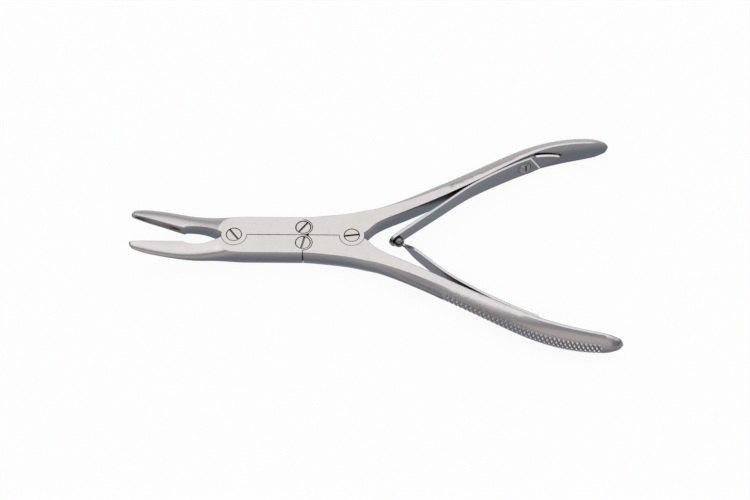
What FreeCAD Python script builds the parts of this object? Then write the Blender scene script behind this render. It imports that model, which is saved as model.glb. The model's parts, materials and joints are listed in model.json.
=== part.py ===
import FreeCAD, Part
import math
import os

from FreeCAD import Matrix, Vector

# Bone rongeur with a double action: two jaws on a front pivot, two handles on a rear pivot and a
# link pivot on each side between them, so that the four lapped plates make a closed linkage.
# It is drawn as it rests, opened by its leaf springs. X runs along the seam towards the grips,
# Y from the seam towards the upper handle, and Z is the thickness, with the jaws curved up.
# All sizes are millimetres. The shapes are laid out from the rear pivot, at half thickness.

# Pivots
front_pivot_reach = 44.5
link_pivot_reach = 18.4
link_pivot_offset = 3.52

# Lapped plates
plate_thickness = 7.1
lap_clearance = 0.06
seam_gap = 0.22
ear_clearance = 0.12
link_ear_clearance = 0.22
front_ear_radius = 4.8
rear_ear_radius = 4.7
link_ear_radius = 3.4
link_cusp_length = 2.1
link_cusp_width = 0.8
link_notch_width = 0.7
link_notch_depth = 0.5

# Screws
pivot_head_diameter = 5.8
link_head_diameter = 5.6
head_thickness = 1.5
head_clearance = 0.12
pivot_shank_diameter = 3.6
link_shank_diameter = 3.2
running_clearance = 0.05
open_pivot_clearance = 0.2
slot_width = 0.75
slot_depth = 0.7
screw_recess = 0.06
screw_chamfer = 0.2
front_slot_angle = -53.0
upper_link_slot_angle = 53.0
lower_link_slot_angle = 77.0
rear_slot_angle = 8.0

# Jaws, in the closed position: reaches run from the front pivot to the tip
jaw_length = 39.5
jaw_opening_angle = 9.0
bite_gap = 0.1
jaw_bend_radius = 40.0
jaw_bend_angle = 15.0
jaw_bend_reach = 16.0
heel_reach = 19.4
heel_step = 0.75
heel_slope = 0.7
relief_depth = 1.95
relief_middle_reach = 12.6
relief_root_reach = 4.4
cup_length = 18.2
cup_tip_wall = 1.1
cup_half_width = 1.5
cup_depth = 2.3
tip_depth = 0.9
jaw_flat_reach = 12.0

# Half thickness, depth to the outer side and squareness of the outer side, for the joint plate and
# for the jaw, where each row begins with its share of the jaw's length
plate_section = (5.2, 8.8, 0.9)
jaw_sections = [
    (0.051, 4.75, 8.6, 0.88),
    (0.153, 3.7, 8.25, 0.83),
    (0.254, 3.08, 7.85, 0.77),
    (0.382, 2.65, 7.4, 0.73),
    (0.509, 2.3, 6.85, 0.7),
    (0.662, 2.05, 6.05, 0.68),
    (0.789, 1.9, 5.1, 0.65),
    (0.891, 1.72, 4.05, 0.63),
    (0.954, 1.42, 3.05, 0.62),
    (0.987, 0.95, 2.0, 0.6),
]

# Handle sections: point on the inner face, turn of the section in degrees, half thickness, width
# of the flat top and depth to the outer side
joint_sections = [
    (-21.0, 0.0, 0.0, 3.55, 8.0, 8.7),
    (-15.0, 0.0, 1.5, 3.55, 8.3, 9.0),
    (-8.0, 0.0, 4.0, 3.55, 9.0, 9.75),
    (-2.0, 0.0, 7.5, 3.55, 9.75, 10.55),
    (4.0, 0.9, 13.5, 3.55, 10.0, 10.95),
    (8.0, 4.4, 21.0, 3.55, 7.6, 8.75),
]
grip_sections = [
    (12.0, 7.45, 27.0, 3.55, 5.6, 6.95),
    (17.0, 9.95, 27.0, 3.52, 4.8, 6.6),
    (24.0, 13.4, 27.0, 3.46, 4.1, 6.6),
    (32.0, 17.5, 28.5, 3.4, 3.7, 6.65),
    (41.0, 22.4, 29.0, 3.5, 3.0, 6.7),
    (50.0, 27.3, 29.5, 4.0, 2.2, 6.7),
    (59.0, 32.4, 29.0, 4.85, 1.7, 6.5),
    (68.0, 37.1, 25.0, 5.6, 1.4, 6.25),
    (76.0, 40.3, 19.0, 6.05, 1.2, 5.95),
    (84.0, 42.4, 12.0, 5.8, 1.1, 5.7),
    (90.5, 43.5, 9.0, 5.15, 1.0, 5.3),
    (93.2, 43.9, 8.5, 4.75, 0.95, 4.95),
    (95.6, 44.3, 8.0, 4.15, 0.85, 4.3),
    (97.7, 44.7, 8.0, 3.2, 0.65, 3.3),
    (99.1, 45.05, 8.0, 2.1, 0.45, 2.1),
]
grip_end = (99.9, 45.75)
shoulder_fullness = 0.52
shoulder_drop = 0.2
flank_fullness = 0.42
rim_round = 0.35
plate_rim_round = 0.04
crotch_lead = 2.2
crotch_points = [(4.62, 1.25), (6.2, 2.6), (8.4, 4.95)]

# Leaf springs: points on the face that looks at the other handle and the thickness there, from
# the base forwards, then the last one of each leaf, which differ because the ball lies off centre
leaf_stations = [
    (73.4, 37.82, 1.7),
    (68.0, 35.65, 1.75),
    (60.0, 31.7, 1.4),
    (52.0, 27.2, 1.05),
    (44.0, 22.05, 0.95),
]
upper_leaf_station = (36.0, 15.6, 0.95)
lower_leaf_station = (36.0, 16.2, 0.95)
leaf_entry_angle = 39.5

# Half widths of the leaves at distances from the rear pivot
leaf_widths = [(22.0, 2.95), (30.0, 3.15), (40.0, 3.45), (50.0, 3.95), (60.0, 4.35), (69.0, 4.5)]

# Thin tail behind the base, the oblique step that leads down to it and the pocket behind it
tail_points = [(65.5, 35.2), (69.5, 36.95), (73.6, 38.45), (77.5, 39.75), (82.5, 41.15)]
tail_reach = 81.0
tail_thickness = 0.7
tail_shoulder = (75.4, 2.75)
step_middle_reach = 71.4
step_skew_angle = 28.0
step_slope_angle = 40.0
pocket_width_margin = 0.75
pocket_length_margin = 1.0
pocket_depth = 0.75

# Ball on the rod of the lower leaf and its socket in the round end of the upper leaf
ball_reach = 17.85
ball_drop = 0.5
ball_radius = 2.05
ball_stand_off = 1.0
socket_clearance = 0.2
socket_wall = 0.6
leaf_end_radius = 2.95
leaf_end_thickness = 1.35
rod_radius = 0.6
rod_reach = 3.0
rod_taper = [(1.5, 1.5), (3.0, 2.45), (4.9, 2.9)]

# Screws that hold the leaves
spring_screw_reach = 66.8
spring_head_diameter = 5.2
spring_head_height = 1.4
spring_shank_diameter = 2.6
spring_shank_length = 4.6
spring_slot_width = 0.7
spring_slot_depth = 0.8
spring_head_sink = 0.15

half = plate_thickness / 2.0
up = Vector(0, 0, 1)
origin = Vector(0, 0, 0)
front_pivot = Vector(-front_pivot_reach, 0, 0)
upper_link = Vector(-link_pivot_reach, link_pivot_offset, 0)
lower_link = Vector(-link_pivot_reach, -link_pivot_offset, 0)
ball_centre = Vector(ball_reach, -ball_drop, 0)

# How far helper shapes reach past what they cut, a little and a lot
margin = 1.0
far = 60.0


def mirrored(shape):
    """The same shape on the other side of the seam."""
    return shape.mirror(origin, Vector(0, 1, 0))


def disc(centre, radius, low, high):
    return Part.makeCylinder(radius, high - low, Vector(centre.x, centre.y, low), up)


def slab(x_low, x_high, y_low, y_high, z_low, z_high):
    corner = Vector(x_low, y_low, z_low)
    return Part.makeBox(x_high - x_low, y_high - y_low, z_high - z_low, corner)


def extruded(edges, low, high):
    """Solid between two heights over a closed plan outline drawn at height zero."""
    face = Part.Face(Part.Wire(edges))
    face.translate(Vector(0, 0, low))
    return face.extrude(Vector(0, 0, high - low))


def line(a, b):
    return Part.LineSegment(a, b).toShape()


def arc(a, middle, b):
    return Part.Arc(a, middle, b).toShape()


def bend(*poles):
    """Bezier edge on the given poles."""
    bezier = Part.BezierCurve()
    bezier.setPoles(list(poles))
    return bezier.toShape()


def curve(points, start_direction=None, end_direction=None):
    """Smooth edge through the points, with end directions where both are given."""
    spline = Part.BSplineCurve()
    if start_direction is None:
        spline.interpolate(points)
    else:
        spline.interpolate(Points=points, InitialTangent=start_direction, FinalTangent=end_direction)
    return spline.toShape()


def plan(x, y):
    return Vector(x, y, 0)


def skinned(stations):
    """Solid through a row of sections. Each section is a ring of edges given by their poles, and
    matching poles are joined by cubic curves that share one set of chord lengths."""
    centres = []
    for ring in stations:
        poles = [pole for edge in ring for pole in edge]
        centres.append(sum(poles[1:], poles[0]) * (1.0 / len(poles)))
    lengths = [0.0]
    for a, b in zip(centres, centres[1:]):
        lengths.append(lengths[-1] + (b - a).Length)
    faces = []
    for index, edge in enumerate(stations[0]):
        tracks = []
        for pole in range(len(edge)):
            track = Part.BSplineCurve()
            track.interpolate(Points=[ring[index][pole] for ring in stations], Parameters=lengths)
            tracks.append(track)
        degree = len(edge) - 1
        surface = Part.BSplineSurface()
        surface.buildFromPolesMultsKnots(
            [track.getPoles() for track in tracks], [degree + 1, degree + 1],
            tracks[0].getMultiplicities(), [0.0, 1.0], tracks[0].getKnots(),
            False, False, degree, tracks[0].Degree)
        faces.append(surface.toShape())
    for ring in (stations[0], stations[-1]):
        if (ring[0][0] - ring[0][-1]).Length > 1e-6:
            faces.append(Part.Face(Part.Wire([bend(*edge) for edge in ring])))
    shell = Part.makeShell(faces)
    shell.sewShape()
    solid = Part.makeSolid(shell.Shells[0])
    if solid.Volume < 0:
        solid.reverse()
    return solid


def section_frame(x, y, turn):
    """Maps depth and height in a section plane to space; depth runs away from the seam."""
    angle = math.radians(turn)
    depth_axis = Vector(-math.sin(angle), math.cos(angle), 0)
    base = Vector(x, y, 0)
    return lambda depth, height: base + depth_axis * depth + up * height


def ahead_of(x, y, turn):
    """Large block on the grip side of a section plane."""
    block = Part.makeBox(2 * far, 2 * far, 2 * far, Vector(0, -far, -far))
    block.rotate(origin, up, turn)
    block.translate(Vector(x, y, 0))
    return block


def lap(body, centre, radius, clearance, on_top):
    """Half-lap ear about a pivot: the disc on one layer and room for the partner's on the other."""
    gap = lap_clearance / 2.0
    if on_top:
        body = body.cut(disc(centre, radius + clearance, -half - margin, gap))
        return body.fuse(disc(centre, radius, gap, half))
    body = body.cut(disc(centre, radius + clearance, -gap, half + margin))
    return body.fuse(disc(centre, radius, -half, -gap))


def head_seat(body, centre, head_diameter, shank_diameter, clearance):
    """Counterbore for a screw head and the hole that turns on its shank, in a top-layer ear."""
    head_room = max(head_clearance, clearance)
    seat = disc(centre, head_diameter / 2.0 + head_room, half - head_thickness, half + margin)
    hole = disc(centre, shank_diameter / 2.0 + clearance, -margin, half)
    return body.cut(seat).cut(hole)


def thread_seat(body, centre, shank_diameter):
    """Hole that holds the screw, in a bottom-layer ear."""
    return body.cut(disc(centre, shank_diameter / 2.0, -half - margin, 0))


def pivot_screw(centre, head_diameter, shank_diameter, slot_angle):
    """Flush slotted screw with its shank through both layers."""
    top = half - screw_recess
    seat = half - head_thickness + running_clearance
    head = disc(centre, head_diameter / 2.0, seat, top)
    rim = [edge for edge in head.Edges if abs(edge.BoundBox.ZMin - top) < 1e-6 and edge.Closed]
    head = head.makeChamfer(screw_chamfer, rim)
    shank = disc(centre, shank_diameter / 2.0, -half + screw_recess, top - slot_depth)
    slot = slab(-head_diameter, head_diameter, -slot_width / 2.0, slot_width / 2.0,
                top - slot_depth, top + margin)
    slot.rotate(origin, up, slot_angle)
    slot.translate(centre)
    return head.fuse(shank).cut(slot).removeSplitter()


def jaw_rise(reach):
    """Height of the jaw's middle line: level, one bend, then straight up to the tip."""
    angle = math.radians(jaw_bend_angle)
    tangent = jaw_bend_radius * math.tan(angle / 2.0)
    start = jaw_bend_reach - tangent
    along = reach - start
    if along <= 0:
        return 0.0
    bend_run = jaw_bend_radius * math.sin(angle)
    if along <= bend_run:
        return jaw_bend_radius - math.sqrt(jaw_bend_radius ** 2 - along ** 2)
    bend_rise = jaw_bend_radius * (1 - math.cos(angle))
    return bend_rise + (along - bend_run) * math.tan(angle)


def jaw_section(place, rise, half_height, depth, squareness):
    """Closed section with a flat inner side past the seam and a rounded outer side."""
    inner = -margin
    shoulder = inner + squareness * (depth - inner)
    outer = place(depth, rise)
    corners = [place(inner, rise + side * half_height) for side in (1, -1)]
    shoulders = [place(shoulder, rise + side * half_height) for side in (1, -1)]
    flanks = [place(depth, rise + side * squareness * half_height) for side in (1, -1)]
    return [
        [corners[1], corners[0]],
        [corners[0], shoulders[0], flanks[0], outer],
        [outer, flanks[1], shoulders[1], corners[1]],
    ]


def closed_jaw_place(reach):
    """Section plane across the closed jaw, swung open about the front pivot."""
    angle = math.radians(jaw_opening_angle)
    x = -front_pivot_reach - reach * math.cos(angle)
    y = reach * math.sin(angle)
    return section_frame(x, y, -jaw_opening_angle)


def opened(shape):
    """Swing a shape drawn for the closed upper jaw to its rest position."""
    shape.rotate(front_pivot, up, -jaw_opening_angle)
    return shape


def closed_point(reach, depth):
    return Vector(-front_pivot_reach - reach, depth, 0)


def jaw_blank():
    """Upper jaw from its cupped tip to the link pivot, before ears and holes."""
    rings = []
    plate_length = front_pivot_reach - link_pivot_reach
    half_height, depth, squareness = plate_section
    for share in (-0.15, 0.1, 0.35, 0.6, 0.85):
        place = section_frame(-link_pivot_reach - share * plate_length, 0, 0)
        rings.append(jaw_section(place, 0, half_height, depth, squareness))
    for share, half_height, depth, squareness in jaw_sections:
        reach = share * jaw_length
        place = closed_jaw_place(reach)
        rings.append(jaw_section(place, jaw_rise(reach), half_height, depth, squareness))
    tip = closed_jaw_place(jaw_length)(tip_depth, jaw_rise(jaw_length))
    rings.append([[tip] * len(edge) for edge in rings[-1]])
    blank = skinned(rings)
    flat_end = -front_pivot_reach - jaw_flat_reach
    for low, high in ((half, far), (-far, -half)):
        blank = blank.cut(slab(flat_end, 0, -far, far, low, high))
    return blank


def jaw_inside():
    """What lies on the other side of the seam and of the cutting face."""
    angle = math.radians(jaw_opening_angle)
    normal = Vector(math.sin(angle), math.cos(angle), 0) * bite_gap
    cutting_end = Vector(-front_pivot_reach - far * math.cos(angle), far * math.sin(angle), 0) + normal
    corner = plan(-front_pivot_reach, seam_gap / 2.0)
    points = [plan(far, seam_gap / 2.0), corner, cutting_end, plan(-2 * far, -far), plan(far, -far)]
    edges = [line(a, b) for a, b in zip(points, points[1:] + points[:1])]
    return extruded(edges, -far, far)


def jaw_relief():
    """Hollowed inner side between the heel of the cup and the front pivot."""
    heel = closed_point(heel_reach, bite_gap)
    step = closed_point(heel_reach - heel_slope, heel_step)
    middle = closed_point(relief_middle_reach, relief_depth)
    root = closed_point(relief_root_reach, bite_gap)
    below = [closed_point(reach, -margin) for reach in (relief_root_reach, heel_reach)]
    edges = [line(heel, step), arc(step, middle, root), line(root, below[0])]
    edges += [line(below[0], below[1]), line(below[1], heel)]
    return opened(extruded(edges, -far, far))


def jaw_cup():
    """Spoon-shaped hollow in the cutting face, in line with the upturned tip."""
    matrix = Matrix()
    matrix.scale(cup_length / 2.0, cup_depth, cup_half_width)
    cup = Part.makeSphere(1.0).transformGeometry(matrix)
    cup.rotate(origin, Vector(0, 1, 0), jaw_bend_angle)
    reach = jaw_length - cup_tip_wall - cup_length / 2.0
    cup.translate(Vector(-front_pivot_reach - reach, bite_gap, jaw_rise(reach)))
    return opened(cup)


def link_seam(on_jaw):
    """What a jaw or a handle gives up beyond the seam through its link pivot."""
    edge = -link_pivot_reach + (-seam_gap / 2.0 if on_jaw else seam_gap / 2.0)
    if on_jaw:
        beyond = slab(edge, far, -far, far, -far, far)
    else:
        beyond = slab(-far, edge, -far, far, -far, far)
    return beyond


def link_notch():
    """Small V where the two outer edges meet at the link."""
    outer = plate_section[1]
    width = link_notch_width / 2.0
    points = [
        plan(-link_pivot_reach, outer - link_notch_depth),
        plan(-link_pivot_reach + 2 * width, outer + link_notch_depth),
        plan(-link_pivot_reach - 2 * width, outer + link_notch_depth),
    ]
    edges = [line(a, b) for a, b in zip(points, points[1:] + points[:1])]
    return extruded(edges, -far, far)


def cusp(towards_grip, on_top):
    """Thin tip between the link recess and the seam, taken off so that the ears can turn."""
    reach = link_cusp_length if towards_grip else -link_cusp_length
    x_low, x_high = sorted((-link_pivot_reach, -link_pivot_reach + reach))
    gap = lap_clearance / 2.0
    z_low, z_high = (-gap, far) if on_top else (-far, gap)
    return slab(x_low, x_high, -margin, link_cusp_width, z_low, z_high)


def finish_jaw(blank, is_upper):
    """Laps, ears and screw holes of one jaw; both jaws lap over their handle at the link."""
    link = upper_link if is_upper else lower_link
    trims = [link_seam(True), link_notch()]
    blank = blank.cut(trims[0]).cut(trims[1] if is_upper else mirrored(trims[1]))
    body = lap(blank, front_pivot, front_ear_radius, ear_clearance, is_upper)
    tip_of_cusp = cusp(False, False)
    body = body.cut(tip_of_cusp if is_upper else mirrored(tip_of_cusp))
    body = lap(body, link, link_ear_radius, link_ear_clearance, True)
    if is_upper:
        body = head_seat(body, front_pivot, pivot_head_diameter, pivot_shank_diameter, running_clearance)
        body = head_seat(body, link, link_head_diameter, link_shank_diameter, open_pivot_clearance)
    else:
        body = thread_seat(body, front_pivot, pivot_shank_diameter)
        body = head_seat(body, link, link_head_diameter, link_shank_diameter, running_clearance)
    return body.removeSplitter()


def outer_side(place, half_height, flat, depth):
    """Poles of the convex outer side, from the edge of the flat to the middle of the thickness."""
    bulge = depth - flat
    return [
        place(flat, half_height),
        place(flat + bulge * shoulder_fullness, half_height * (1 - shoulder_drop)),
        place(depth, half_height * flank_fullness),
        place(depth, 0),
    ]


def side_section(x, y, turn, half_height, flat, depth):
    """Tall section that carries only the curved outer side of the joint plates."""
    place = section_frame(x, y, turn)
    upper = outer_side(place, half_height, flat, depth)
    lower = outer_side(lambda n, z: place(n, -z), half_height, flat, depth)
    tall = half_height + margin
    inside = -4 * margin
    corners = [place(inside, -tall), place(inside, tall), place(flat, tall), place(flat, -tall)]
    return [
        [corners[0], corners[1]],
        [corners[1], corners[2]],
        [corners[2], upper[0]],
        upper,
        lower[::-1],
        [lower[0], corners[3]],
        [corners[3], corners[0]],
    ]


def grip_section(x, y, turn, half_height, flat, depth, rounding):
    """Section of the handle: flat inner side, rounded rims, flat top and convex outer side."""
    place = section_frame(x, y, turn)
    upper = outer_side(place, half_height, flat, depth)
    lower = outer_side(lambda n, z: place(n, -z), half_height, flat, depth)
    inner = [place(0, half_height - rounding), place(0, rounding - half_height)]
    corners = [place(0, half_height), place(0, -half_height)]
    rims = [place(rounding, half_height), place(rounding, -half_height)]
    return [
        [inner[1], inner[0]],
        [inner[0], corners[0], rims[0]],
        [rims[0], upper[0]],
        upper,
        lower[::-1],
        [lower[0], rims[1]],
        [rims[1], corners[1], inner[1]],
    ]


def handle_blank():
    """Upper handle: lapped joint plate with a curved outer side and the forged grip behind it."""
    start = grip_sections[0]
    side_body = skinned([side_section(*station) for station in joint_sections + grip_sections[:3]])
    crotch = [plan(x, y) for x, y in crotch_points] + [plan(start[0], start[1])]
    turn = math.radians(start[2])
    run = grip_sections[1][0] - start[0]
    beyond = plan(start[0] + run, start[1] + run * math.tan(turn))
    seam_start = plan(-link_pivot_reach - margin, seam_gap / 2.0)
    seam_end = plan(crotch_points[0][0] - crotch_lead, seam_gap / 2.0)
    outline = [
        line(seam_start, seam_end),
        line(seam_end, crotch[0]),
        curve(crotch + [beyond]),
        line(beyond, plan(beyond.x, far)),
        line(plan(beyond.x, far), plan(seam_start.x, far)),
        line(plan(seam_start.x, far), seam_start),
    ]
    ahead = ahead_of(*start[:3])
    plate = extruded(outline, -half, half).common(side_body).cut(ahead)
    rings = [grip_section(*joint_sections[-1], plate_rim_round)]
    for index, station in enumerate(grip_sections):
        rounding = plate_rim_round + (rim_round - plate_rim_round) * min(1.0, index / 3.0)
        rings.append(grip_section(*station, rounding))
    rings.append([[plan(*grip_end)] * len(edge) for edge in rings[-1]])
    grip = skinned(rings).common(ahead)
    return plate.fuse(grip)


def finish_handle(blank, is_upper):
    """Laps, ears and screw holes of one handle; both handles lie under their jaw at the link."""
    link = upper_link if is_upper else lower_link
    notch = link_notch()
    tip_of_cusp = cusp(True, True)
    body = blank.cut(link_seam(False)).cut(notch if is_upper else mirrored(notch))
    body = lap(body, origin, rear_ear_radius, ear_clearance, is_upper)
    body = body.cut(tip_of_cusp if is_upper else mirrored(tip_of_cusp))
    body = lap(body, link, link_ear_radius, link_ear_clearance, False)
    body = thread_seat(body, link, link_shank_diameter)
    if is_upper:
        body = head_seat(body, origin, pivot_head_diameter, pivot_shank_diameter, running_clearance)
    else:
        body = thread_seat(body, origin, pivot_shank_diameter)
    return body


def leaf_normal(a, b):
    """Unit vector from the free face towards the handle, for a step from the tail to the hook."""
    along = (b - a).normalize()
    return Vector(along.y, -along.x, 0)


def leaf_entry():
    """Direction in which the upper leaf's free end points, and the one from there to its handle."""
    angle = math.radians(leaf_entry_angle)
    direction = Vector(-math.cos(angle), -math.sin(angle), 0)
    return direction, leaf_normal(origin, direction)


def leaf_plan(last_station, end_point, end_thickness):
    """Free face and seated face of a leaf, as point rows from the base to its free end."""
    stations = leaf_stations + [last_station]
    face = [plan(x, y) for x, y, thickness in stations] + [end_point]
    thicknesses = [thickness for x, y, thickness in stations] + [end_thickness]
    back = []
    for index, point in enumerate(face[:-1]):
        normal = leaf_normal(face[max(index - 1, 0)], face[index + 1])
        back.append(point + normal * thicknesses[index])
    back.append(end_point + leaf_entry()[1] * end_thickness)
    return face, back


def leaf_strip(last_station, end_point, end_thickness, end_length):
    """Leaf from its base to its free end, in plan, with a straight piece at the end."""
    direction, normal = leaf_entry()
    face, back = leaf_plan(last_station, end_point, end_thickness)
    first = (face[1] - face[0]).normalize()
    ends = [point + direction * end_length for point in (face[-1], back[-1])]
    edges = [
        curve(face, first, direction),
        line(face[-1], ends[0]),
        line(ends[0], ends[1]),
        line(ends[1], back[-1]),
        curve(list(reversed(back)), direction * -1, first * -1),
        line(back[0], face[0]),
    ]
    return extruded(edges, -far, far)


def tail_outline(side, widening, lengthening):
    """Trims the width, seen along Y, over a row of half widths that ends in an ogival tail."""
    side = [Vector(x, 0, width + widening) for x, width in side]
    tail = Vector(tail_reach + lengthening, 0, 0)
    shoulder = Vector(tail_shoulder[0], 0, tail_shoulder[1] + widening)
    flip = lambda v: Vector(v.x, 0, -v.z)
    edges = [
        curve(side),
        arc(side[-1], shoulder, tail),
        arc(tail, flip(shoulder), flip(side[-1])),
        curve([flip(v) for v in reversed(side)]),
        line(flip(side[0]), side[0]),
    ]
    face = Part.Face(Part.Wire(edges))
    face.translate(Vector(0, -far, 0))
    return face.extrude(Vector(0, 2 * far, 0))


def tail_band(free_offset, back_offset):
    """Band that follows the tail's free face in plan, between two distances behind that face."""
    free = [plan(x, y) for x, y in tail_points]
    rows = []
    for offset in (free_offset, back_offset):
        row = []
        for index, point in enumerate(free):
            normal = leaf_normal(free[min(index + 1, len(free) - 1)], free[max(index - 1, 0)])
            row.append(point + normal * offset)
        rows.append(row)
    edges = [
        curve(rows[0]),
        line(rows[0][-1], rows[1][-1]),
        curve(list(reversed(rows[1]))),
        line(rows[1][0], rows[0][0]),
    ]
    return extruded(edges, -far, far)


def with_tail(strip):
    """Leaf strip with the oblique sloping step behind its base and the thin tail."""
    before, after = [plan(x, y) for x, y in tail_points[1:3]]
    along = (after - before).normalize()
    middle = before + along * ((step_middle_reach - before.x) / along.x)
    beyond = Part.makeBox(far, 2 * far, 4 * far, Vector(0, -far, -2 * far))
    beyond.rotate(origin, up, -step_slope_angle)
    beyond.rotate(origin, Vector(0, 1, 0), -step_skew_angle)
    beyond.rotate(origin, up, math.degrees(math.atan2(along.y, along.x)))
    beyond.translate(middle)
    return strip.cut(beyond).fuse(tail_band(0, tail_thickness))


def tail_pocket():
    """Shallow pocket milled into the handle behind the tail."""
    width = leaf_widths[-1][1]
    side = [(step_middle_reach - margin, width), (step_middle_reach, width)]
    outline = tail_outline(side, pocket_width_margin, pocket_length_margin)
    return tail_band(-margin, tail_thickness + pocket_depth).common(outline)


def upper_leaf(handle):
    """Leaf whose thickened round end holds the socket for the ball of the other leaf."""
    direction, normal = leaf_entry()
    middle = ball_centre + normal * ball_stand_off
    end_point = middle - direction * leaf_end_radius
    blank = leaf_strip(upper_leaf_station, end_point, leaf_end_thickness, 2 * leaf_end_radius)
    side = [(ball_reach - 4 * ball_radius, leaf_widths[0][1])] + leaf_widths
    blank = with_tail(blank).common(tail_outline(side, 0, 0))
    corners = Part.makeBox(far, far, far, Vector(0, -far / 2.0, -far / 2.0))
    corners.rotate(origin, up, 180 + leaf_entry_angle)
    corners.translate(middle)
    corners = corners.cut(Part.makeCylinder(leaf_end_radius, 2 * far, middle - normal * far, normal))
    dome = Part.makeSphere(ball_radius + socket_clearance + socket_wall, ball_centre)
    front = Part.makeCylinder(far, far, middle, normal * -1)
    socket = Part.makeSphere(ball_radius + socket_clearance, ball_centre)
    return blank.cut(corners).fuse(dome.cut(front)).cut(socket).cut(handle)


def lower_leaf(handle):
    """Leaf drawn to a round rod that ends in the ball, as it would sit on the upper handle."""
    direction, normal = leaf_entry()
    centre = Vector(ball_reach, ball_drop, 0)
    shoulder = centre - direction * rod_reach
    thickness = lower_leaf_station[2]
    end_point = shoulder - normal * (thickness / 2.0)
    blank = leaf_strip(lower_leaf_station, end_point, thickness, rod_radius)
    taper = [(shoulder.x + run, width) for run, width in [(0, rod_radius)] + rod_taper]
    blank = with_tail(blank).common(tail_outline(taper + leaf_widths[1:], 0, 0))
    rod = Part.makeCylinder(rod_radius, rod_reach + margin, centre, direction * -1)
    ball = Part.makeSphere(ball_radius, centre)
    return blank.fuse(rod).fuse(ball).cut(handle)


def spring_screw_axis():
    """Seat of the head, sunk a little into the leaf's free face, and the direction inwards."""
    before, station, after = [plan(x, y) for x, y, thickness in leaf_stations[:3]]
    inward = leaf_normal(before, after)
    along = (after - before).normalize()
    run = (station.x - spring_screw_reach) / -along.x
    return station + along * run + inward * spring_head_sink, inward


def spring_bore(radius, low, high):
    """Cylinder on the axis of the spring screw, between two depths from the seat of its head."""
    seat, inward = spring_screw_axis()
    return Part.makeCylinder(radius, high - low, seat + inward * low, inward)


def spring_screw():
    """Domed slotted screw through the base of the leaf into the handle, upper side."""
    seat, inward = spring_screw_axis()
    radius = spring_head_diameter / 2.0
    sphere_radius = (radius ** 2 + spring_head_height ** 2) / (2 * spring_head_height)
    sphere = Part.makeSphere(sphere_radius, seat + inward * (sphere_radius - spring_head_height))
    head = sphere.common(spring_bore(radius, -spring_head_height - margin, 0))
    shank = spring_bore(spring_shank_diameter / 2.0, -spring_head_sink, spring_shank_length)
    slot = Part.makeBox(spring_slot_width, spring_slot_depth + margin, 2 * (radius + margin))
    slot.translate(Vector(-spring_slot_width / 2.0, -margin, -radius - margin))
    slot.rotate(origin, up, math.degrees(math.atan2(inward.y, inward.x)) - 90)
    slot.translate(seat - inward * spring_head_height)
    return head.fuse(shank).cut(slot)


def with_screw_seat(leaf):
    """Upper leaf with the hole for its screw and the spot face under the head."""
    head_room = spring_bore(spring_head_diameter / 2.0 + head_clearance, -margin, 0)
    return leaf.cut(head_room).cut(spring_bore(spring_shank_diameter / 2.0, -margin, spring_shank_length))


def build():
    jaw = jaw_blank().cut(jaw_inside()).cut(jaw_relief()).cut(jaw_cup())
    handle = handle_blank()
    screw = spring_screw()
    hole = spring_bore(spring_shank_diameter / 2.0, -margin, spring_shank_length)
    pocket = tail_pocket()
    upper_handle = finish_handle(handle, True).cut(hole).cut(pocket)
    lower_handle = finish_handle(mirrored(handle), False).cut(mirrored(hole)).cut(mirrored(pocket))
    pivot = (pivot_head_diameter, pivot_shank_diameter)
    link = (link_head_diameter, link_shank_diameter)
    return {
        "upper_jaw": finish_jaw(jaw, True),
        "lower_jaw": finish_jaw(mirrored(jaw), False),
        "upper_handle": upper_handle,
        "lower_handle": lower_handle,
        "front_pivot_screw": pivot_screw(front_pivot, *pivot, front_slot_angle),
        "rear_pivot_screw": pivot_screw(origin, *pivot, rear_slot_angle),
        "upper_link_screw": pivot_screw(upper_link, *link, upper_link_slot_angle),
        "lower_link_screw": pivot_screw(lower_link, *link, lower_link_slot_angle),
        "upper_leaf_spring": with_screw_seat(upper_leaf(upper_handle)),
        "lower_leaf_spring": mirrored(with_screw_seat(lower_leaf(mirrored(lower_handle)))),
        "upper_spring_screw": screw,
        "lower_spring_screw": mirrored(screw),
    }


nodes = build()

# The origin is put under the middle of the instrument, at the height of its lowest point
box = Part.makeCompound(list(nodes.values())).optimalBoundingBox(True, False)
to_origin = Vector(-(box.XMin + box.XMax) / 2.0, 0, -box.ZMin)

os.makedirs("parts", exist_ok=True)
for name, shape in nodes.items():
    shape.translate(to_origin)
    shape.exportStep("parts/%s.step" % name)
    print(name, "solids", len(shape.Solids), "volume %.2f" % shape.Volume, "valid", shape.isValid())
print("moved by %.4f %.4f %.4f" % tuple(to_origin))
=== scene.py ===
import json
import math

import bmesh
import bpy
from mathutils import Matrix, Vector
from mathutils.bvhtree import BVHTree


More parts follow.
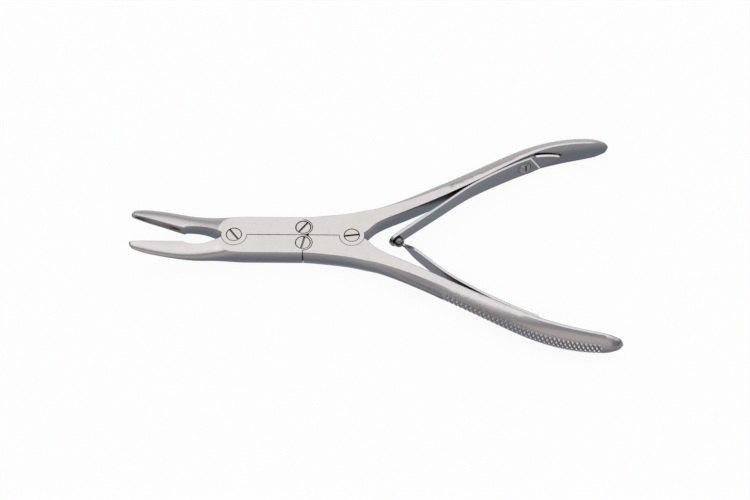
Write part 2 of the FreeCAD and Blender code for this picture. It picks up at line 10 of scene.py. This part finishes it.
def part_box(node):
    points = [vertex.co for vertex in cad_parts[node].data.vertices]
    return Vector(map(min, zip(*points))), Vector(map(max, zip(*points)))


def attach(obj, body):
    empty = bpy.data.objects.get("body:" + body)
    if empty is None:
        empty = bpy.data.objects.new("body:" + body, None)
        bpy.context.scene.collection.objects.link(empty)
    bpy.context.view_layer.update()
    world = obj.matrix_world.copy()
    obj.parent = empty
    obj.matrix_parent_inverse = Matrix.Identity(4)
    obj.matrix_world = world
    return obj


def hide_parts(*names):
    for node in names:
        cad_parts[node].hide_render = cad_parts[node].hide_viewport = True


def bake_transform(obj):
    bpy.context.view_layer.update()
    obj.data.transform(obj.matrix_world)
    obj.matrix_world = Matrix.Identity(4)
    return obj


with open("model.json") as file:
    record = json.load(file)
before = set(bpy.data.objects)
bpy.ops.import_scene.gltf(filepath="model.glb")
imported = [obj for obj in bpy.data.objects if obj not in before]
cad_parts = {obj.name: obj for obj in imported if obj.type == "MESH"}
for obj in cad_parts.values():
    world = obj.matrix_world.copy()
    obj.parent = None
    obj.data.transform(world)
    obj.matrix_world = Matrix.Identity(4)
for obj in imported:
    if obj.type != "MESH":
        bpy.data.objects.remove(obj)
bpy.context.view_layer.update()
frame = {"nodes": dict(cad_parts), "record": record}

# Double-action bone rongeur: satin forgings with knurled grips, turned screws and two leaf springs
# that bend as the handles close. Lengths below are in millimetres, measured from the rear pivot at
# half the joint's thickness
MM = 0.001
joints = {joint["name"]: joint for joint in frame["record"]["behaviour"]["joints"]}
rear_pivot = Vector(joints["rear_pivot"]["pos_m"])

# Camera
IMAGE_WIDTH_PX = 750
SCALE_MM_PER_PX = 0.3777
CAMERA_DISTANCE = 741.0
CAMERA_ELEVATION = 55.0
CAMERA_ROLL = 0.44
AIM = (8.8, -4.3, 0.0)
SENSOR_WIDTH = 36.0

# Studio: half the floor's width, the share of plain white in it where the camera or the steel
# sees it, and how far the softboxes stand from the rear pivot
FLOOR_HALF_WIDTH = 1500.0
FLOOR_WHITE_SHARE = 0.93
SOFTBOX_DISTANCE = 1200.0

# Knurl on the outer side of each grip: its place, its diamonds and the skin that carries them
KNURL_START = 34.0
KNURL_END = 92.0
KNURL_WIDTH_SHARE = 0.7
KNURL_INSET = 3.0
KNURL_PITCH = 1.65
KNURL_DEPTH = 0.36
KNURL_CROSS_SHARE = 0.75
KNURL_ANGLE = 32.0
KNURL_FADE = 1.2
KNURL_STEP = 0.15
KNURL_SKIN_WIDTH = 8.0
KNURL_BED_DEPTH = 0.6
KNURL_SKIN_LIFT = 0.01
KNURL_SKIN_THICKNESS = 0.2
GRIP_SLOPE_REACH = 1.0

# Painted highlight on the knurl's crests and painted shade in its grooves: where they start to grow
# towards the grip's end, how steeply the tones of crest and groove part, and how much of each shows
# before they grow
KNURL_PAINT_GROWTH_START = 52.0
KNURL_TONE_SLOPE = 2.4
EARLY_CREST_HIGHLIGHT_SHARE = 0.25
EARLY_GROOVE_SHADE_SHARE = 0.55

# Leaf springs: the ball, the chamfered tail, the lean of the oblique step's face, and the shares of
# a normal from which a face counts as turned to a side or as level
BALL_RADIUS = 2.05
BALL_DROP = 0.5
BALL_MARGIN = 0.1
TAIL_START = 70.8
TAIL_CHAMFER = 0.4
TAIL_LEVEL_SHARE = 0.95
STEP_LEAN = 0.6
TURNED_SHARE = 0.3
LEAF_EDGE_LENGTH = 1.0
LEAF_EDGE_CUTS = 2

# Copies of the forgings: the angles in degrees past which an edge stays sharp, the upright share of
# a normal past which a face counts as level, and how close loose corners are merged
SMOOTH_ANGLE = 24.0
ROUND_END_START = 94.0
ROUND_END_ANGLE = 50.0
FLAT_TOP_SHARE = 0.9999
MERGE_DISTANCE = 0.0005

# Heights over the table between which the side walls' painted shade grows lighter, what they gain
# there, and what they gain by leaning back
SIDE_DARK_HEIGHT = 5.5
SIDE_LIGHT_HEIGHT = 11.0
SIDE_HEIGHT_GAIN = 0.45
SIDE_TILT_GAIN = 0.8

# Upright shares of the normal from a side wall painted darker as shade to a flat
FLAT_SHARES = (0.74, 1.0)

# Painted shade in hollows: reach of the walls over the floor, the openness between shut and free,
# and the shade's tone
PAINTED_SHADE_REACH = 2.5
PAINTED_SHADE_OPENNESS = (0.42, 0.92)
PAINTED_SHADE_TONE = "584D45"

# Steel: width of its pale clouds, share of the grain in its tone, lift of that tone, spread of the
# roughness and strength of the grain's relief
CLOUD_WIDTH = 9.0
GRAIN_SHARE = 0.55
TONE_LIFT = 0.5
ROUGHNESS_SPREAD = 0.06
GRAIN_RELIEF = 0.25


def at(x, y, z):
    """Place given in millimetres from the rear pivot, in the frame's metres."""
    return rear_pivot + Vector((x, y, z)) * MM


def linear(hex_colour):
    """Linear colour for an sRGB hex value."""
    channels = [int(hex_colour[i:i + 2], 16) / 255.0 for i in (0, 2, 4)]
    curve = [c / 12.92 if c <= 0.04045 else ((c + 0.055) / 1.055) ** 2.4 for c in channels]
    return (*curve, 1.0)


def add_node(tree, kind, settings=(), links=()):
    """Adds a node, sets its properties and input values and links its inputs."""
    node = tree.nodes.new(kind)
    for name, value in dict(settings).items():
        if isinstance(name, str) and hasattr(node, name):
            setattr(node, name, value)
        else:
            node.inputs[name].default_value = value
    for name, source in dict(links).items():
        tree.links.new(source, node.inputs[name])
    return node


def new_material(name):
    """Material with an empty node tree and its output node."""
    material = bpy.data.materials.new(name)
    material.use_nodes = True
    material.node_tree.nodes.clear()
    return material, material.node_tree


def steel(name, tones, side_shade_tones, roughness, grain_size, edge_radius, shade_own_hollows_only=True,
          knurl_painted_tones=None):
    """Satin steel: fine straight grain across the instrument that varies gloss, tone and height.
    The side walls are painted greyer than the flats as shade, darker towards the bottom and where
    they lean down, and hollows and the walls by the floor are painted brown as shade."""
    grain_width, grain_length, grain_depth = grain_size
    material, tree = new_material(name)
    place = add_node(tree, "ShaderNodeTexCoord").outputs["Object"]
    # The grain is drawn wider than the real 0.1 mm so that it shows at this picture's scale
    stretch = (1.0 / (grain_width * MM), 1.0 / (grain_length * MM), 1.0 / (grain_length * MM))
    grain_place = add_node(tree, "ShaderNodeMapping", {"Scale": stretch}, {"Vector": place}).outputs[0]
    grain = add_node(tree, "ShaderNodeTexNoise", {"Scale": 1.0, "Detail": 2.0, "Roughness": 0.6},
                     {"Vector": grain_place}).outputs["Fac"]
    cloud = add_node(tree, "ShaderNodeTexNoise", {"Scale": 1.0 / (CLOUD_WIDTH * MM), "Detail": 2.0},
                     {"Vector": place}).outputs["Fac"]
    clouded = add_node(tree, "ShaderNodeMath",
                       {"operation": "MULTIPLY_ADD", "use_clamp": True, 1: 1 - GRAIN_SHARE, 2: TONE_LIFT},
                       {0: cloud}).outputs[0]
    mixed = add_node(tree, "ShaderNodeMath", {"operation": "MULTIPLY_ADD", 1: GRAIN_SHARE},
                     {0: grain, 2: clouded}).outputs[0]
    colour = add_node(tree, "ShaderNodeMix",
                      {"data_type": "RGBA", 6: linear(tones[1]), 7: linear(tones[0])},
                      {0: mixed}).outputs[2]
    # Painted shade: by their normal, side walls take greyer tones than the flats, darker low down and where
    # they face down
    facing = add_node(tree, "ShaderNodeTexCoord").outputs["Normal"]
    upright = add_node(tree, "ShaderNodeSeparateXYZ", {}, {"Vector": facing}).outputs["Z"]
    flatness = add_node(tree, "ShaderNodeMath", {"operation": "ABSOLUTE"}, {0: upright}).outputs[0]
    flat_share = add_node(tree, "ShaderNodeMapRange",
                       {"interpolation_type": "SMOOTHSTEP", "From Min": FLAT_SHARES[0],
                        "From Max": FLAT_SHARES[1]},
                       {"Value": flatness}).outputs[0]
    height = add_node(tree, "ShaderNodeSeparateXYZ", {}, {"Vector": place}).outputs["Z"]
    raised = add_node(tree, "ShaderNodeMapRange",
                      {"interpolation_type": "SMOOTHSTEP", "From Min": SIDE_DARK_HEIGHT * MM,
                       "From Max": SIDE_LIGHT_HEIGHT * MM, "To Max": SIDE_HEIGHT_GAIN},
                      {"Value": height}).outputs[0]
    raised = add_node(tree, "ShaderNodeMath",
                      {"operation": "MULTIPLY_ADD", "use_clamp": True, 1: SIDE_TILT_GAIN},
                      {0: upright, 2: raised}).outputs[0]
    side = add_node(tree, "ShaderNodeMix",
                    {"data_type": "RGBA", 6: linear(side_shade_tones[1]), 7: linear(side_shade_tones[0])},
                    {0: raised}).outputs[2]
    colour = add_node(tree, "ShaderNodeMix", {"data_type": "RGBA"},
                      {0: flat_share, 6: side, 7: colour}).outputs[2]
    # Painted shade: a brown tone where ambient occlusion finds hollows, crotches and, for the forgings, the
    # floor
    openness = add_node(tree, "ShaderNodeAmbientOcclusion",
                        {"samples": 4, "only_local": shade_own_hollows_only, "Distance": PAINTED_SHADE_REACH * MM}
                        ).outputs["AO"]
    openness = add_node(tree, "ShaderNodeMapRange",
                        {"From Min": PAINTED_SHADE_OPENNESS[0], "From Max": PAINTED_SHADE_OPENNESS[1]},
                        {"Value": openness}).outputs[0]
    colour = add_node(tree, "ShaderNodeMix", {"data_type": "RGBA", 6: linear(PAINTED_SHADE_TONE)},
                      {0: openness, 7: colour}).outputs[2]
    # Painted highlight on the knurl's crests and painted shade in its grooves, from the skin's attributes
    if knurl_painted_tones:
        for layer, tone in zip(("crest_highlight", "groove_shade"), knurl_painted_tones):
            share = add_node(tree, "ShaderNodeAttribute", {"attribute_name": layer}).outputs["Fac"]
            colour = add_node(tree, "ShaderNodeMix", {"data_type": "RGBA", 7: linear(tone)},
                              {0: share, 6: colour}).outputs[2]
    dulling = add_node(tree, "ShaderNodeMapRange",
                       {"To Min": roughness + ROUGHNESS_SPREAD, "To Max": roughness - ROUGHNESS_SPREAD},
                       {"Value": mixed}).outputs[0]
    edge = add_node(tree, "ShaderNodeBevel", {"samples": 6, "Radius": edge_radius * MM}).outputs[0]
    bump = add_node(tree, "ShaderNodeBump", {"Strength": GRAIN_RELIEF, "Distance": grain_depth * MM},
                    {"Height": grain, "Normal": edge}).outputs[0]
    shader = add_node(tree, "ShaderNodeBsdfPrincipled", {"Metallic": 1.0},
                      {"Base Color": colour, "Roughness": dulling, "Normal": bump})
    add_node(tree, "ShaderNodeOutputMaterial", {}, {"Surface": shader.outputs[0]})
    return material


def floor_material():
    """Pale matt studio floor that reads as white, in the picture and in the steel, and keeps
    a soft share of the instrument's shadow."""
    material, tree = new_material("pale_studio_floor")
    matt = add_node(tree, "ShaderNodeBsdfPrincipled",
                    {"Base Color": linear("F6F6F6"), "Roughness": 0.9, "Specular IOR Level": 0.0})
    white = add_node(tree, "ShaderNodeEmission", {"Strength": 1.0})
    ray = add_node(tree, "ShaderNodeLightPath")
    seen = add_node(tree, "ShaderNodeMath", {"operation": "MAXIMUM"},
                    {0: ray.outputs["Is Camera Ray"], 1: ray.outputs["Is Glossy Ray"]}).outputs[0]
    seen = add_node(tree, "ShaderNodeMath", {"operation": "MAXIMUM"},
                    {0: seen, 1: ray.outputs["Is Transmission Ray"]}).outputs[0]
    share = add_node(tree, "ShaderNodeMath", {"operation": "MULTIPLY", 1: FLOOR_WHITE_SHARE}, {0: seen})
    shader = add_node(tree, "ShaderNodeMixShader", {},
                      {0: share.outputs[0], 1: matt.outputs[0], 2: white.outputs[0]})
    add_node(tree, "ShaderNodeOutputMaterial", {}, {"Surface": shader.outputs[0]})
    return material


def mesh_copy(node):
    """Merged copy of a CAD node's mesh as a bmesh."""
    bm = bmesh.new()
    bm.from_mesh(frame["nodes"][node].data)
    bmesh.ops.remove_doubles(bm, verts=bm.verts, dist=MERGE_DISTANCE * MM)
    bmesh.ops.dissolve_degenerate(bm, edges=bm.edges, dist=MERGE_DISTANCE * MM)
    bm.normal_update()
    return bm


def finish_piece(bm, name, material, body=None, replaces=None):
    """Object from a bmesh, smooth but for its level faces and sharp edges, with its material, the
    slot of its finish and its body."""
    mesh = bpy.data.meshes.new(name)
    for face in bm.faces:
        face.smooth = abs(face.normal.z) < FLAT_TOP_SHARE
    for edge in bm.edges:
        on_round_end = edge.verts[0].co.x > rear_pivot.x + ROUND_END_START * MM
        limit = ROUND_END_ANGLE if on_round_end else SMOOTH_ANGLE
        edge.smooth = edge.calc_face_angle(0) < math.radians(limit)
    bm.to_mesh(mesh)
    bm.free()
    imported_normals = mesh.attributes.get("custom_normal")
    if imported_normals:
        mesh.attributes.remove(imported_normals)
    mesh.materials.append(material)
    piece = bpy.data.objects.new(name, mesh)
    bpy.context.scene.collection.objects.link(piece)
    if body:
        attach(piece, body)
    if replaces:
        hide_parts(replaces)
    return piece


def add_camera():
    """Camera at the photograph's angle, distance and roll."""
    data = bpy.data.cameras.new("camera")
    data.sensor_width = SENSOR_WIDTH
    data.lens = SENSOR_WIDTH * CAMERA_DISTANCE / SCALE_MM_PER_PX / IMAGE_WIDTH_PX
    data.clip_start = 0.01
    camera = bpy.data.objects.new("camera", data)
    elevation = math.radians(CAMERA_ELEVATION)
    back = Vector((0, -math.cos(elevation), math.sin(elevation)))
    camera.location = at(*AIM) + back * CAMERA_DISTANCE * MM
    camera.rotation_euler = back.to_track_quat("Z", "Y").to_euler()
    camera.rotation_euler.rotate_axis("Z", math.radians(CAMERA_ROLL))
    bpy.context.scene.collection.objects.link(camera)
    bpy.context.scene.camera = camera


def add_softbox(name, azimuth, elevation, size, power, tint):
    """Softbox that faces the instrument from an angle in degrees, with its width and height in
    metres and its power in watts."""
    data = bpy.data.lights.new(name, "AREA")
    data.shape = "RECTANGLE"
    data.size, data.size_y = size
    data.energy = power
    data.color = linear(tint)[:3]
    lamp = bpy.data.objects.new(name, data)
    az, el = math.radians(azimuth), math.radians(elevation)
    towards = Vector((math.sin(az) * math.cos(el), math.cos(az) * math.cos(el), math.sin(el)))
    lamp.location = rear_pivot + towards * SOFTBOX_DISTANCE * MM
    lamp.rotation_euler = towards.to_track_quat("Z", "Y").to_euler()
    bpy.context.scene.collection.objects.link(lamp)


def add_world(colour, strength):
    """Even studio light from all round."""
    world = bpy.data.worlds.new("studio")
    world.use_nodes = True
    tree = world.node_tree
    tree.nodes.clear()
    light = add_node(tree, "ShaderNodeBackground", {"Color": linear(colour), "Strength": strength})
    add_node(tree, "ShaderNodeOutputWorld", {}, {"Surface": light.outputs[0]})
    bpy.context.scene.world = world


def add_floor():
    """Level floor under the instrument, which is studio and no part of it."""
    bm = bmesh.new()
    bmesh.ops.create_grid(bm, x_segments=1, y_segments=1, size=FLOOR_HALF_WIDTH * MM)
    floor = finish_piece(bm, "floor", floor_material())


def smoothstep(value):
    """Soft ramp from 0 to 1."""
    value = max(0.0, min(1.0, value))
    return value * value * (3 - 2 * value)


def knurl_depth(along, across):
    """Depth share of the diamond pattern: 0 on the crests, 1 in the main grooves and less in
    the grooves that cross them."""
    angle = math.radians(KNURL_ANGLE)
    depths = []
    for sign, share in ((1, 1.0), (-1, KNURL_CROSS_SHARE)):
        phase = (along * math.cos(angle) + sign * across * math.sin(angle)) / (KNURL_PITCH * math.cos(angle))
        depths.append(share * (1 - abs(2 * (phase - math.floor(phase)) - 1)))
    return max(depths)


def handle_piece(node, side, material, knurl_material):
    """Copy of a handle whose outer side is bedded down under a knurled skin."""
    bm = mesh_copy(node)
    tree = BVHTree.FromBMesh(bm)
    middle = rear_pivot.z
    stations = {}

    def outer(x):
        """Outermost point of the grip at x."""
        start = Vector((rear_pivot.x + x * MM, side, middle))
        return tree.ray_cast(start, Vector((0, -side, 0)))[0]

    def station(x):
        """Outermost point at x, the direction out of it and the half width of the knurl there."""
        key = round(x, 2)
        if key not in stations:
            foot = outer(x)
            step = outer(x + GRIP_SLOPE_REACH) - outer(x - GRIP_SLOPE_REACH)
            normal = Vector((-step.y, step.x, 0)).normalized() * side
            inside = foot - normal * KNURL_INSET * MM
            rim = tree.ray_cast(Vector((inside.x, inside.y, 1.0)), Vector((0, 0, -1)))[0]
            stations[key] = (foot, normal, (rim.z - middle) / MM * KNURL_WIDTH_SHARE)
        return stations[key]

    def fade(x, height, half_width):
        """Share of the knurl's depth that is left near its borders."""
        ends = min(x - KNURL_START, KNURL_END - x) / KNURL_FADE
        sides = (half_width - abs(height)) / KNURL_FADE
        return smoothstep(ends) * smoothstep(sides)

    skin = bmesh.new()
    columns = round((KNURL_END - KNURL_START) / KNURL_STEP)
    rows = round(KNURL_SKIN_WIDTH / KNURL_STEP)
    bmesh.ops.create_grid(skin, x_segments=columns, y_segments=rows, size=0.5)
    crest_highlight = skin.verts.layers.float.new("crest_highlight")
    groove_shade = skin.verts.layers.float.new("groove_shade")
    for vert in skin.verts:
        x = KNURL_START + (vert.co.x + 0.5) * (KNURL_END - KNURL_START)
        foot, normal, half_width = station(x)
        height = vert.co.y * 2 * half_width
        start = foot + normal + Vector((0, 0, height * MM))
        hit = tree.ray_cast(start, -normal)[0]
        depth, shown = knurl_depth(x, height), fade(x, height, half_width)
        # The painted highlight on the crests and the shade in the grooves grow towards the grip's end
        paint_growth = smoothstep((x - KNURL_PAINT_GROWTH_START) / (KNURL_END - KNURL_PAINT_GROWTH_START))
        vert.co = hit - normal * (depth * shown * KNURL_DEPTH - KNURL_SKIN_LIFT) * MM
        crest_highlight_share = EARLY_CREST_HIGHLIGHT_SHARE + (1 - EARLY_CREST_HIGHLIGHT_SHARE) * paint_growth
        groove_shade_share = EARLY_GROOVE_SHADE_SHARE + (1 - EARLY_GROOVE_SHADE_SHARE) * paint_growth
        vert[crest_highlight] = smoothstep(KNURL_TONE_SLOPE * (0.5 - depth)) * shown * crest_highlight_share
        vert[groove_shade] = smoothstep(KNURL_TONE_SLOPE * (depth - 0.5)) * shown * groove_shade_share
    for vert in bm.verts:
        x = (vert.co.x - rear_pivot.x) / MM
        height = (vert.co.z - middle) / MM
        if KNURL_START < x < KNURL_END:
            foot, normal, half_width = station(x)
            depth = fade(x, height, half_width) * KNURL_BED_DEPTH
            if depth > 0 and (foot - vert.co).dot(normal) < KNURL_INSET * MM:
                vert.co -= normal * depth * MM
    finish_piece(bm, node + "_forging", material, node, node)
    if side > 0:
        bmesh.ops.reverse_faces(skin, faces=skin.faces)
    knurl = finish_piece(skin, node + "_knurl", knurl_material, node)
    closed = knurl.modifiers.new("close_skin", "SOLIDIFY")
    closed.thickness = KNURL_SKIN_THICKNESS * MM
    closed.offset = -1.0


def leaf_piece(node, side, screw):
    """Leaf spring from its screw to the ball at its free end, with the front edge of its tail chamfered.
    Its step's face and the tail's chamfer get a bright warm tone as painted highlight, and its ball a
    darker tone as painted shade."""
    bm = mesh_copy(node)
    tail_start = rear_pivot.x + TAIL_START * MM
    for vert in bm.verts:
        inward = -vert.normal.y * side
        if vert.co.x > tail_start and vert.normal.z > TURNED_SHARE and inward > TURNED_SHARE:
            vert.co.z -= TAIL_CHAMFER * MM
    bm.normal_update()
    long_edges = [edge for edge in bm.edges if edge.calc_length() > LEAF_EDGE_LENGTH * MM]
    bmesh.ops.subdivide_edges(bm, edges=long_edges, cuts=LEAF_EDGE_CUTS)
    piece = finish_piece(bm, node + "_bending", rolled, None, node)
    low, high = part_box(screw)
    base = (low + high) / 2
    low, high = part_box("lower_leaf_spring")
    ball = Vector((low.x + BALL_RADIUS * MM, rear_pivot.y - BALL_DROP * MM, rear_pivot.z))
    # Painted shade on the ball and a painted highlight on the step's face and the tail's chamfer, by
    # material index
    piece.data.materials.append(ball_shade_spring_steel)
    piece.data.materials.append(step_highlight_spring_steel)
    for polygon in piece.data.polygons:
        leaning = polygon.center.x > base.x and polygon.normal.x > STEP_LEAN
        chamfered = polygon.center.x > tail_start and TURNED_SHARE < polygon.normal.z < TAIL_LEVEL_SHARE
        if (polygon.center - ball).length < (BALL_RADIUS + BALL_MARGIN) * MM:
            polygon.material_index = 1
        elif polygon.normal.y * side < -TURNED_SHARE and (leaning or chamfered):
            polygon.material_index = 2
    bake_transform(piece)


# Stainless steel, forged and milled, a soft pale satin on top, with a bluer grey painted round the
# sides as shade
forged = steel("satin_stainless_steel", ("D1CDCA", "BAB6B4"), ("A4A1A0", "5E636D"), 0.36,
               (0.45, 7.0, 0.01), 0.3, shade_own_hollows_only=False)
# The same steel with a diamond knurl rolled into it, with a painted highlight on its crests and
# painted shade in its grooves
knurled = steel("knurled_stainless_steel", ("D1CDCA", "BAB6B4"), ("A4A1A0", "6A6F7A"), 0.32,
                (0.45, 3.0, 0.01), 0.1, knurl_painted_tones=("FAFAFA", "3C3D46"))
# Stainless steel screws, turned on the lathe, smoother and a little warmer than the plates
turned = steel("turned_stainless_steel", ("CCC8C2", "BAB5AD"), ("96969A", "77777B"), 0.34,
               (0.3, 1.0, 0.006), 0.18)
# Spring steel, rolled to strip and brushed across, a plain grey that is darker than the plates
rolled = steel("rolled_spring_steel", ("CAC8C8", "B6B4B4"), ("7E8088", "686B74"), 0.34,
               (0.5, 6.0, 0.008), 0.3)
# The same spring steel on the ball, glossier, with a darker tone painted on as shade
ball_shade_spring_steel = steel("spring_steel_ball_painted_shade", ("8E8A86", "76726F"), ("7C7874", "5A5755"), 0.26,
                  (0.3, 1.0, 0.006), 0.18)
# The same spring steel at the step and the tail's chamfer, with a bright warm tone painted on as highlight
step_highlight_spring_steel = steel("spring_steel_step_painted_highlight", ("EEEAE6", "DAD6D2"), ("EAE2DD", "D2CAC5"), 0.3,
               (0.3, 1.0, 0.006), 0.1)

for jaw in ("upper_jaw", "lower_jaw"):
    finish_piece(mesh_copy(jaw), jaw + "_forging", forged, jaw, jaw)
handle_piece("upper_handle", 1, forged, knurled)
handle_piece("lower_handle", -1, forged, knurled)
leaf_piece("upper_leaf_spring", 1, "upper_spring_screw")
leaf_piece("lower_leaf_spring", -1, "lower_spring_screw")
owners = {node: body for body, nodes in frame["record"]["behaviour"]["bodies"].items() for node in nodes}
for node, body in owners.items():
    if node.endswith("_screw"):
        finish_piece(mesh_copy(node), node + "_turned", turned, body, node)

add_camera()
add_world("E8ECFF", 0.28)
add_softbox("back_softbox", 0.0, 72.0, (1.6, 1.39), 7.0, "FFFEFB")
add_softbox("low_back_softbox", 0.0, 14.0, (1.8, 0.5), 1.6, "FFF4EA")
add_softbox("front_softbox", 180.0, 27.0, (1.8, 1.25), 6.0, "FFF5EC")
add_softbox("jaw_end_softbox", 270.0, 40.0, (1.0, 1.0), 2.4, "FFFFFF")
add_softbox("grip_end_softbox", 90.0, 40.0, (1.0, 1.0), 2.4, "FFFFFF")
add_floor()

scene = bpy.context.scene
scene.view_settings.view_transform = "Standard"
